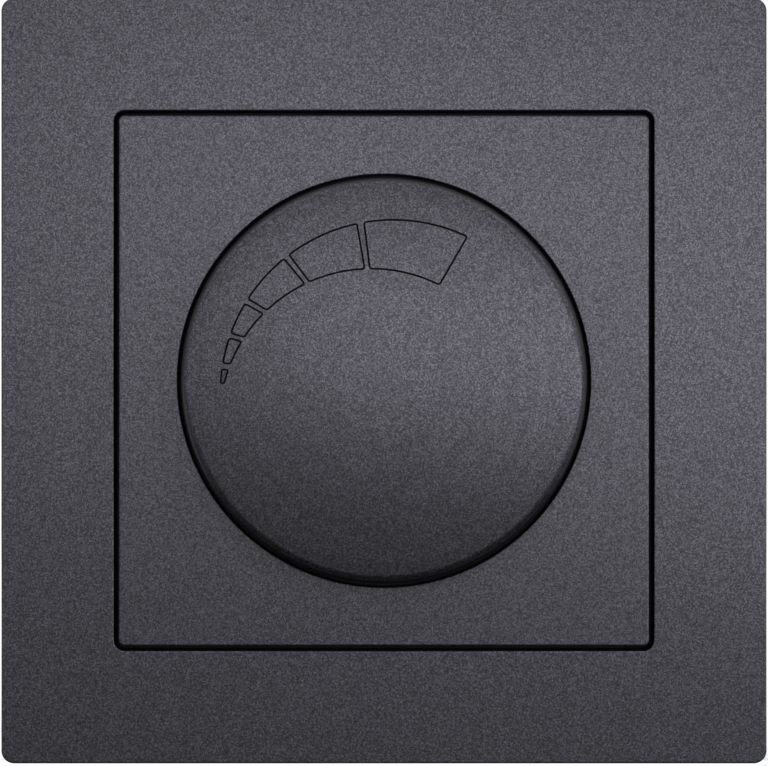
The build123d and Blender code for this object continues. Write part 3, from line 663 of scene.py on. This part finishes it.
def bushing_profile():
    """Closed half section of the bushing, from the bore's rear round the flange and the thread."""
    low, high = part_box("shaft_bushing")
    flange_radius = high.x
    flange_rear = -high.y
    flange_front = flange_rear + flange_thickness
    tip = -low.y
    profile = [
        (bushing_bore, flange_rear, 0),
        (flange_radius, flange_rear, 0),
        (flange_radius, flange_front, 0),
    ]
    profile += threaded_rows(neck_radius, flange_front, tip, neck_pitch, neck_thread_depth)
    return profile + [(bushing_bore, tip, 0), (bushing_bore, flange_rear, 0)]


bushing_mesh = loose_mesh("threaded_bushing", turned(bushing_profile(), bushing_steps, neck_pitch))
new_piece("threaded_bushing", bushing_mesh, "shaft_bushing", nickel)

# Shaft and clip
# The shaft is moulded in white plastic, with flats for the knob and for the wiper. A spring clip in
# its groove keeps it from being pulled out.
dress(white_plastic, "control_shaft")
dress(zinc, "shaft_clip")

# Nut and lock washer of the bushing
# The six-sided nut is cut from brass bar and nickel plated. The washer's teeth bite into the strap and
# keep the potentiometer from turning.
dress(nickel, "bushing_nut")
dress(zinc, "lock_washer")

# Insulating plate
# Cut from black plastic sheet, with a hole for the bushing. It lies between the strap and the tub,
# closes the tub's mouth and keeps the strap off the live parts.
dress(black_plastic, "insulating_plate")

# Housing screws
# Two thread-forming screws of zinc-plated steel, with slotted pan heads. They go through the strap
# into the tub's bosses.
housing_screw_radius = 1.4 * mm
housing_screw_length = 10.0 * mm
housing_screw_head_radius = 2.5 * mm
housing_screw_head_height = 1.7 * mm
housing_screw = slotted_screw(
    "housing_screw",
    housing_screw_radius,
    housing_screw_length,
    housing_screw_head_radius,
    housing_screw_head_height,
)
housing_screw_low, housing_screw_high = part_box("housing_screws")
housing_screw_x = housing_screw_high.x - housing_screw_head_radius
housing_screw_z = housing_screw_high.z - housing_screw_head_radius
housing_screw_seat = housing_screw_low.y + housing_screw_head_height
housing_screw_places = []
for side in (-1, 1):
    screw_place = (side * housing_screw_x, housing_screw_seat, side * housing_screw_z)
    housing_screw_places.append(Matrix.Translation(screw_place))
housing_screw_mesh = loose_mesh("housing_screw_pair", gather(housing_screw, housing_screw_places))
new_piece("housing_screw_pair", housing_screw_mesh, "housing_screws", zinc)

# Terminals
# A grey moulded block in the tub's rear edge holds three brass cages. In each one a plated screw
# presses a plated clamp plate on the wire.
grey_colour = (0.42, 0.43, 0.44, 1)
grey_grain = 0.2 * mm
terminal_screw_radius = 1.5 * mm
terminal_screw_head_radius = 2.1 * mm
terminal_screw_head_height = 1.6 * mm
terminal_cages = ["terminal_cage_1", "terminal_cage_2", "terminal_cage_3"]
dress(moulded("grey_plastic", grey_colour, grey_grain, contrast=0.3, roughness=0.5), "terminal_block")
dress(bare_brass, *terminal_cages)
dress(zinc, "clamp_plates")
terminal_screw_low, terminal_screw_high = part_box("terminal_screws")
terminal_screw_seat = terminal_screw_high.y - terminal_screw_head_height
terminal_screw = slotted_screw(
    "terminal_screw",
    terminal_screw_radius,
    terminal_screw_seat - terminal_screw_low.y,
    terminal_screw_head_radius,
    terminal_screw_head_height,
)
terminal_screw_z = (terminal_screw_low.z + terminal_screw_high.z) / 2
face_rear = Matrix.Rotation(math.pi, 4, "X")
terminal_screw_places = []
for cage in terminal_cages:
    cage_low, cage_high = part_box(cage)
    screw_place = ((cage_low.x + cage_high.x) / 2, terminal_screw_seat, terminal_screw_z)
    terminal_screw_places.append(Matrix.Translation(screw_place) @ face_rear)
terminal_screw_mesh = loose_mesh("terminal_screw_row", gather(terminal_screw, terminal_screw_places))
new_piece("terminal_screw_row", terminal_screw_mesh, "terminal_screws", zinc)

# Cover frame
# Moulded in black plastic and sprayed with an anthracite metal-flake lacquer. Down inside the window
# its walls are painted near-black, as painted shade in the gap. The centre plate holds it against the wall.
anthracite_colour = (0.0870, 0.0840, 0.1015, 1)
# Near-black painted shade for the walls of gaps and grooves, darker than the black plastic.
painted_shade_black = (0.006, 0.006, 0.007, 1)
flake_size = 0.13 * mm
flake_sparkle = 0.80
glint_power = 2.0
glint_spread = 2.0
glint_shift = -0.6
flake_metal = 0.78
lacquer_roughness = 0.28
painted_shade_roughness = 0.6
lacquer_edge = 0.15 * mm
lacquer_bump = 0.004 * mm
window_half = 28.1 * mm
window_reach = 0.25 * mm


def sprayed_lacquer_group():
    """Metal-flake lacquer, with near-black painted shade below a depth inside a square opening."""
    tree, given, made = new_group(
        "sprayed_lacquer",
        [
            ("NodeSocketColor", "Lacquer"),
            ("NodeSocketColor", "Painted shade"),
            ("NodeSocketFloat", "Flakes per metre"),
            ("NodeSocketFloat", "Sparkle"),
            ("NodeSocketFloat", "Metal share"),
            ("NodeSocketFloat", "Lacquer roughness"),
            ("NodeSocketFloat", "Painted shade roughness"),
            ("NodeSocketFloat", "Opening half"),
            ("NodeSocketFloat", "Opening depth"),
        ],
        [
            ("NodeSocketColor", "Colour"),
            ("NodeSocketFloat", "Metallic"),
            ("NodeSocketFloat", "Roughness"),
            ("NodeSocketFloat", "Height"),
        ],
    )
    place = add_node(tree, "ShaderNodeTexCoord")
    axes = add_node(tree, "ShaderNodeSeparateXYZ")
    sideways = add_node(tree, "ShaderNodeMath", operation="ABSOLUTE")
    upward = add_node(tree, "ShaderNodeMath", operation="ABSOLUTE")
    from_middle = add_node(tree, "ShaderNodeMath", operation="MAXIMUM")
    outside = add_node(tree, "ShaderNodeMath", operation="GREATER_THAN")
    below = add_node(tree, "ShaderNodeMath", operation="SUBTRACT")
    shallow = add_node(tree, "ShaderNodeMapRange", {"From Max": lacquer_edge, "To Min": 1.0, "To Max": 0.0})
    reach = add_node(tree, "ShaderNodeMath", operation="MAXIMUM")
    flakes = add_node(tree, "ShaderNodeTexVoronoi", feature="F1")
    glint = add_node(tree, "ShaderNodeMath", {1: glint_power}, operation="POWER")
    glints = add_node(tree, "ShaderNodeMath", {1: glint_spread, 2: glint_shift}, operation="MULTIPLY_ADD")
    shade = add_node(tree, "ShaderNodeMath", {2: 1.0}, operation="MULTIPLY_ADD")
    tint = add_node(tree, "ShaderNodeMix", {"Factor": 1.0}, data_type="RGBA", blend_type="MULTIPLY")
    colour = add_node(tree, "ShaderNodeMix", data_type="RGBA")
    rough = add_node(tree, "ShaderNodeMix", data_type="FLOAT")
    metallic = add_node(tree, "ShaderNodeMath", operation="MULTIPLY")
    link(tree, place, "Object", axes, "Vector")
    link(tree, axes, "X", sideways, 0)
    link(tree, axes, "Z", upward, 0)
    link(tree, sideways, "Value", from_middle, 0)
    link(tree, upward, "Value", from_middle, 1)
    link(tree, from_middle, "Value", outside, 0)
    link(tree, given, "Opening half", outside, 1)
    link(tree, axes, "Y", below, 0)
    link(tree, given, "Opening depth", below, 1)
    link(tree, below, "Value", shallow, "Value")
    link(tree, outside, "Value", reach, 0)
    link(tree, shallow, "Result", reach, 1)
    link(tree, place, "Object", flakes, "Vector")
    link(tree, given, "Flakes per metre", flakes, "Scale")
    link(tree, flakes, "Color", glint, 0)
    link(tree, glint, "Value", glints, 0)
    link(tree, glints, "Value", shade, 0)
    link(tree, given, "Sparkle", shade, 1)
    link(tree, given, "Lacquer", tint, "A")
    link(tree, shade, "Value", tint, "B")
    # Deep inside the opening the colour turns to the near-black painted shade.
    link(tree, reach, "Value", colour, "Factor")
    link(tree, given, "Painted shade", colour, "A")
    link(tree, tint, "Result", colour, "B")
    link(tree, reach, "Value", rough, "Factor")
    link(tree, given, "Painted shade roughness", rough, "A")
    link(tree, given, "Lacquer roughness", rough, "B")
    link(tree, reach, "Value", metallic, 0)
    link(tree, given, "Metal share", metallic, 1)
    link(tree, colour, "Result", made, "Colour")
    link(tree, metallic, "Value", made, "Metallic")
    link(tree, rough, "Result", made, "Roughness")
    link(tree, flakes, "Distance", made, "Height")
    return tree


sprayed_lacquer = sprayed_lacquer_group()


def lacquered(name, opening_half, opening_depth):
    """Anthracite lacquer on a piece, with near-black painted shade below a depth inside a square opening.
    """
    values = {
        "Lacquer": anthracite_colour,
        "Painted shade": painted_shade_black,
        "Flakes per metre": 1 / flake_size,
        "Sparkle": flake_sparkle,
        "Metal share": flake_metal,
        "Lacquer roughness": lacquer_roughness,
        "Painted shade roughness": painted_shade_roughness,
        "Opening half": opening_half,
        "Opening depth": opening_depth,
    }
    return finish(name, sprayed_lacquer, values, lacquer_bump)


frame_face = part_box("cover_frame")[0].y
frame_lacquer = lacquered("frame_lacquer", window_half + lacquer_edge, frame_face + window_reach)
dress(frame_lacquer, "cover_frame")

# Centre plate
# Moulded and sprayed like the frame, with a round dish for the knob. Its edges below the face are painted
# near-black, as painted shade in the gap, and its nut on the threaded bushing clamps it over the frame's
# ledge.
plate_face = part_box("centre_plate")[0].y
plate_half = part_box("centre_plate")[1].x
plate_reach = 0.3 * mm
plate_lacquer = lacquered("plate_lacquer", plate_half + lacquer_edge, plate_face + plate_reach)
dress(plate_lacquer, "centre_plate")

# Plate nut
# Round nut moulded in black plastic, with slots for a screwdriver. It sits under the knob on the
# threaded bushing, and clamps the centre plate.
dress(black_plastic, "plate_nut")

# Knob
# Moulded hollow cap with a crowned face, pressed on the shaft. Its lower rim and side are painted
# near-black, as painted shade round the knob. Six growing segments are engraved in the face, and the
# grooves are painted near-black, as painted shade in them.
knob_low, knob_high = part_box("dimmer_knob")
knob_radius = knob_high.x
knob_rear = -knob_high.y
knob_tip = -knob_low.y
knob_crown = 0.9 * mm
knob_draft = math.radians(1.5)
knob_round = 1.0 * mm
knob_wall = 1.8 * mm
knob_roof_thickness = 1.9 * mm
hub_radius = 5.2 * mm
hub_rear = 11.4 * mm
socket_radius = 3.02 * mm
socket_flat = 1.52 * mm
knob_rib_count = 6
knob_rib_thickness = 1.0 * mm
knob_rib_height = 3.6 * mm
join_depth = 0.4 * mm
knob_steps = 240
dome_steps = 14
knob_round_steps = 14
rim_trials = 14
# The rim's painted shade fades in from the first tilt and covers the rim fully from the second.
knob_shade_fade_tilt = math.radians(36)
knob_shaded_side_tilt = math.radians(46)
ramp_outer_radius = 17.6 * mm
ramp_outer_centre = (0.93 * mm, -1.20 * mm)
ramp_inner_radius = 15.45 * mm
ramp_inner_centre = (-1.31 * mm, -4.03 * mm)
ramp_angles = [
    (60.0, 97.2),
    (99.8, 127.0),
    (129.3, 148.9),
    (151.0, 162.7),
    (164.6, 173.7),
    (176.0, 180.8),
]
engraving_width = 0.2 * mm
engraving_depth = 0.2 * mm
engraving_corner = 0.25 * mm
engraving_corner_share = 0.33
engraving_gloss = 0.1
# Near-black painted shade for the knob's lower rim and side.
knob_shaded_side_colour = (0.012, 0.012, 0.013, 1)
side_steps = 24
corner_steps = 5
knob_rim = knob_tip - knob_crown
knob_roof = knob_rim - knob_roof_thickness
knob_face_radius = knob_radius - (knob_rim - knob_rear) * math.tan(knob_draft)
ball_radius = (knob_face_radius**2 + knob_crown**2) / (2 * knob_crown)
ball_centre = knob_tip - ball_radius


def rim_centre():
    """Centre of the round between the knob's ball face and its drafted side, found by a few trials."""
    slope = math.tan(knob_draft)
    inset = knob_round / math.cos(knob_draft)
    height = knob_rim - knob_round
    for trial in range(rim_trials):
        radius = knob_radius - (height - knob_rear) * slope - inset
        height = ball_centre + math.sqrt((ball_radius - knob_round) ** 2 - radius**2)
    return radius, height


def knob_profile():
    """Half section of the knob, from the crown round the side to the socket's floor."""
    rim_radius, rim_height = rim_centre()
    rim_angle = math.asin(rim_radius / (ball_radius - knob_round))
    dome = round_corner(0, ball_centre, ball_radius, 0, rim_angle, dome_steps)
    dome[0] = (0, knob_tip, 0)
    side_angle = quarter_turn - knob_draft
    rim = round_corner(rim_radius, rim_height, knob_round, rim_angle, side_angle, knob_round_steps)
    cavity_radius = knob_radius - knob_wall
    roof_radius = cavity_radius - (knob_roof - knob_rear) * math.tan(knob_draft)
    inside = [
        (knob_radius, knob_rear, 0),
        (cavity_radius, knob_rear, 0),
        (roof_radius, knob_roof, 0),
        (hub_radius, knob_roof, 0),
        (hub_radius, hub_rear, 0),
        (socket_radius, hub_rear, 0),
        (socket_radius, knob_roof, 0),
        (0, knob_roof, 0),
    ]
    return dome + rim[1:] + inside


def knob_inner_bars():
    """The socket's flat and the ribs under the roof."""
    flat_low = (-socket_radius, -knob_roof - join_depth, socket_flat)
    flat_high = (socket_radius, -hub_rear, socket_radius + join_depth)
    shape = bar(flat_low, flat_high)
    rib_start = socket_radius + join_depth
    rib_end = knob_radius - knob_wall + join_depth / 2
    for i in range(knob_rib_count):
        rib_low = (rib_start, -knob_roof - join_depth, -knob_rib_thickness / 2)
        rib_high = (rib_end, knob_rib_height - knob_roof, knob_rib_thickness / 2)
        rib = loose_mesh("knob_rib", bar(rib_low, rib_high))
        rib.transform(Matrix.Rotation(math.tau * i / knob_rib_count, 4, "Y"))
        shape.from_mesh(rib)
    return shape


def spoke_point(centre, radius, angle):
    """Point where a spoke from the knob's centre meets a circle drawn about another centre."""
    along = Vector((math.cos(angle), math.sin(angle)))
    toward = along.dot(Vector(centre))
    across = along.x * centre[1] - along.y * centre[0]
    return (toward + math.sqrt(radius**2 - across**2)) * along


def trimmed(points, cut):
    """Points at even steps along a line of points, less a cut at both ends."""
    lengths = [0]
    for start, end in zip(points, points[1:]):
        lengths.append(lengths[-1] + (end - start).length)
    evenly = []
    for i in range(side_steps + 1):
        wanted = cut + (lengths[-1] - 2 * cut) * i / side_steps
        k = max(j for j in range(len(lengths) - 1) if lengths[j] <= wanted)
        share = (wanted - lengths[k]) / (lengths[k + 1] - lengths[k])
        evenly.append(points[k].lerp(points[k + 1], share))
    return evenly


def segment_outline(start_angle, end_angle):
    """Closed outline of one segment of the ramp, with eased corners."""
    span = end_angle - start_angle
    turns = [math.radians(start_angle + span * i / side_steps) for i in range(side_steps + 1)]
    outer = [spoke_point(ramp_outer_centre, ramp_outer_radius, turn) for turn in turns]
    inner = [spoke_point(ramp_inner_centre, ramp_inner_radius, turn) for turn in reversed(turns)]
    sides = [outer, [outer[-1], inner[0]], inner, [inner[-1], outer[0]]]
    corner = min(engraving_corner, engraving_corner_share * (inner[0] - outer[-1]).length)
    eased = [trimmed(side, corner) for side in sides]
    outline = []
    for i, side in enumerate(eased):
        outline += side
        tip = sides[i][-1]
        onward = eased[(i + 1) % len(eased)][0]
        for k in range(1, corner_steps):
            share = k / corner_steps
            outline.append(side[-1].lerp(tip, share).lerp(tip.lerp(onward, share), share))
    return outline


def engraving_tool():
    """Square-edged ribbons along the six outlines, sunk into the knob's face."""
    shape = bmesh.new()
    for start_angle, end_angle in ramp_angles:
        outline = segment_outline(start_angle, end_angle)
        count = len(outline)
        rails = []
        for i, point in enumerate(outline):
            along = (outline[(i + 1) % count] - outline[i - 1]).normalized()
            across = Vector((-along.y, along.x)) * engraving_width / 2
            corners = []
            for place in (point - across, point + across):
                face = ball_centre + math.sqrt(ball_radius**2 - place.length_squared)
                for height in (face - engraving_depth, face + engraving_depth):
                    corners.append(shape.verts.new((place.x, -height, place.y)))
            rails.append([corners[0], corners[1], corners[3], corners[2]])
        for i, rail in enumerate(rails):
            onward = rails[(i + 1) % count]
            for k in range(len(rail)):
                after = (k + 1) % len(rail)
                shape.faces.new((rail[k], rail[after], onward[after], onward[k]))
    bmesh.ops.recalc_face_normals(shape, faces=shape.faces)
    return shape


# The opening is wider than the knob, so the painted shade starts at one depth all round the rim, and
# the faces below it take the side's near-black painted shade.
rim_height = rim_centre()[1]
knob_shade_fade_start = rim_height + knob_round * math.cos(knob_shade_fade_tilt)
knob_shaded_side_start = rim_height + knob_round * math.cos(knob_shaded_side_tilt)
knob_lacquer = lacquered("knob_lacquer", knob_radius + lacquer_edge, -knob_shade_fade_start)
knob_shaded_side = moulded("knob_shaded_side", knob_shaded_side_colour, black_grain, contrast=0.5, roughness=0.36)
# The grooves' near-black colour, with little shine, is painted shade in them.
engraving_painted_shade = moulded(
    "engraving_painted_shade", painted_shade_black, black_grain, contrast=0.5, roughness=painted_shade_roughness
)
engraving_shader = engraving_painted_shade.node_tree.nodes["Principled BSDF"]
engraving_shader.inputs["Specular IOR Level"].default_value = engraving_gloss
knob_blank = loose_mesh("knob_blank", turned(knob_profile(), knob_steps))
knob_blank.materials.append(knob_lacquer)
knob_blank.materials.append(knob_shaded_side)
for face in knob_blank.polygons:
    face.material_index = int(-face.center.y < knob_shaded_side_start)
knob_bars = loose_mesh("knob_bars", knob_inner_bars())
knob_bars.materials.append(knob_shaded_side)
engraving = loose_mesh("engraving", engraving_tool())
engraving.materials.append(engraving_painted_shade)
knob_mesh = carve(carve(knob_blank, knob_bars, "UNION"), engraving, "DIFFERENCE")
new_piece("engraved_knob", knob_mesh, "dimmer_knob")

# Floor
# A plain pale sheet. It glows a little for the camera, so that it stays near white around the shadow.
# The frame's lower edge stands on the sheet's front edge.
floor_half = 1.5
floor_front = -4 * mm
floor_height = cad_box[0].z
floor_glow = 0.35
floor_colour = (0.80, 0.80, 0.80, 1)
floor_grain = 4 * mm
floor_mesh = bpy.data.meshes.new("floor")
floor_corners = [
    (-floor_half, floor_front, floor_height),
    (floor_half, floor_front, floor_height),
    (floor_half, floor_half, floor_height),
    (-floor_half, floor_half, floor_height),
]
floor_mesh.from_pydata(floor_corners, [], [(0, 1, 2, 3)])
floor = bpy.data.objects.new("floor", floor_mesh)
bpy.context.scene.collection.objects.link(floor)


def seen_rays(tree):
    """Sockets that are 1 for rays from the camera, and for mirrored and let-through ones."""
    ray = add_node(tree, "ShaderNodeLightPath")
    mirrored = add_node(tree, "ShaderNodeMath", operation="MAXIMUM")
    link(tree, ray, "Is Glossy Ray", mirrored, 0)
    link(tree, ray, "Is Transmission Ray", mirrored, 1)
    return ray.outputs["Is Camera Ray"], mirrored.outputs["Value"]


floor_paper = moulded("floor_paper", floor_colour, floor_grain, contrast=0.05, roughness=0.8)
floor_tree = floor_paper.node_tree
floor_shader = floor_tree.nodes["Principled BSDF"]
floor_shader.inputs["Emission Color"].default_value = (1, 1, 1, 1)
floor_camera, floor_mirrored = seen_rays(floor_tree)
floor_seen = add_node(floor_tree, "ShaderNodeMath", operation="MAXIMUM")
floor_level = add_node(floor_tree, "ShaderNodeMath", {1: floor_glow}, operation="MULTIPLY")
floor_tree.links.new(floor_camera, floor_seen.inputs[0])
floor_tree.links.new(floor_mirrored, floor_seen.inputs[1])
link(floor_tree, floor_seen, "Value", floor_level, 0)
link(floor_tree, floor_level, "Value", floor_shader, "Emission Strength")
floor_mesh.materials.append(floor_paper)

# Light
# A soft studio that is bright overhead and dark towards the floor in front, a strip lamp beside the
# camera, a weak one on its left, and a soft lamp for the rear.


def soft_lamp(name, place, width, height, watts, roll=0.0):
    """Square-cornered lamp that faces the object, turned about its own axis by the roll."""
    data = bpy.data.lights.new(name, "AREA")
    data.shape = "RECTANGLE"
    data.size = width
    data.size_y = height
    data.energy = watts
    lamp = bpy.data.objects.new(name, data)
    lamp.location = place
    lamp.rotation_mode = "QUATERNION"
    lamp.rotation_quaternion = (-Vector(place)).to_track_quat("-Z", "Y") @ Quaternion((0, 0, 1), roll)
    lamp.visible_camera = False
    bpy.context.scene.collection.objects.link(lamp)


soft_lamp("front_strip", place=(0.162, -0.365, 0.009), width=0.551, height=0.095, watts=0.327, roll=-0.141)
soft_lamp("left_strip", place=(-0.25, -0.38, 0.03), width=0.30, height=0.10, watts=0.058)
soft_lamp("rear_softbox", place=(-0.20, 0.36, 0.26), width=0.40, height=0.40, watts=0.8)

room_level = 0.795
room_low = -0.547
room_high = 0.821
room_slope = 0.194
room_side_reach = 0.198
room_least = 0.003
backdrop_start = 0.55
backdrop_full = 0.85
world = bpy.data.worlds.new("studio")
world.use_nodes = True
bpy.context.scene.world = world
sky = world.node_tree
sky.nodes.clear()
sky_place = add_node(sky, "ShaderNodeTexCoord")
sky_axes = add_node(sky, "ShaderNodeSeparateXYZ")
sky_beside = add_node(sky, "ShaderNodeMath", operation="ABSOLUTE")
sky_height = add_node(sky, "ShaderNodeMath", {1: room_side_reach}, operation="MULTIPLY_ADD")
sky_rise = add_node(
    sky,
    "ShaderNodeMapRange",
    {"From Min": room_low, "From Max": room_high, "To Min": room_least, "To Max": room_level},
    interpolation_type="SMOOTHSTEP",
)
sky_side = add_node(
    sky,
    "ShaderNodeMapRange",
    {"From Min": -1.0, "From Max": 1.0, "To Min": 1 - room_slope, "To Max": 1 + room_slope},
)
sky_room = add_node(sky, "ShaderNodeMath", operation="MULTIPLY")
sky_behind = add_node(sky, "ShaderNodeMapRange", {"From Min": backdrop_start, "From Max": backdrop_full})
sky_camera, sky_mirrored = seen_rays(sky)
sky_backdrop = add_node(sky, "ShaderNodeMath", operation="MULTIPLY")
sky_seen = add_node(sky, "ShaderNodeMath", operation="MAXIMUM")
sky_level = add_node(sky, "ShaderNodeMath", operation="MAXIMUM")
sky_white = add_node(sky, "ShaderNodeBackground", {"Color": (1, 1, 1, 1)})
sky_out = add_node(sky, "ShaderNodeOutputWorld")
link(sky, sky_place, "Generated", sky_axes, "Vector")
link(sky, sky_axes, "X", sky_beside, 0)
link(sky, sky_beside, "Value", sky_height, 0)
link(sky, sky_axes, "Z", sky_height, 2)
link(sky, sky_height, "Value", sky_rise, "Value")
link(sky, sky_axes, "X", sky_side, "Value")
link(sky, sky_rise, "Result", sky_room, 0)
link(sky, sky_side, "Result", sky_room, 1)
link(sky, sky_axes, "Y", sky_behind, "Value")
link(sky, sky_behind, "Result", sky_backdrop, 0)
sky.links.new(sky_mirrored, sky_backdrop.inputs[1])
link(sky, sky_backdrop, "Value", sky_seen, 0)
sky.links.new(sky_camera, sky_seen.inputs[1])
link(sky, sky_seen, "Value", sky_level, 0)
link(sky, sky_room, "Value", sky_level, 1)
link(sky, sky_level, "Value", sky_white, "Strength")
link(sky, sky_white, "Background", sky_out, "Surface")

# Camera
# Square on to the plate, about as far off as the photograph seems to have been taken from. The view
# is shifted a little, because the knob's axis lies above the picture's middle.
image_width = 768
pixels_per_metre = 9615
camera_distance = 0.45
knob_rise = 2.2
sensor_width = 36
nearest_seen = 0.01
camera_data = bpy.data.cameras.new("camera")
camera_data.sensor_width = sensor_width
camera_data.lens = sensor_width * pixels_per_metre * (camera_distance + plate_face) / image_width
camera_data.shift_y = -knob_rise / image_width
camera_data.clip_start = nearest_seen
camera = bpy.data.objects.new("camera", camera_data)
camera.location = (0, -camera_distance, 0)
camera.rotation_euler = (quarter_turn, 0, 0)
bpy.context.scene.collection.objects.link(camera)
bpy.context.scene.camera = camera
bpy.context.scene.view_settings.view_transform = "Standard"
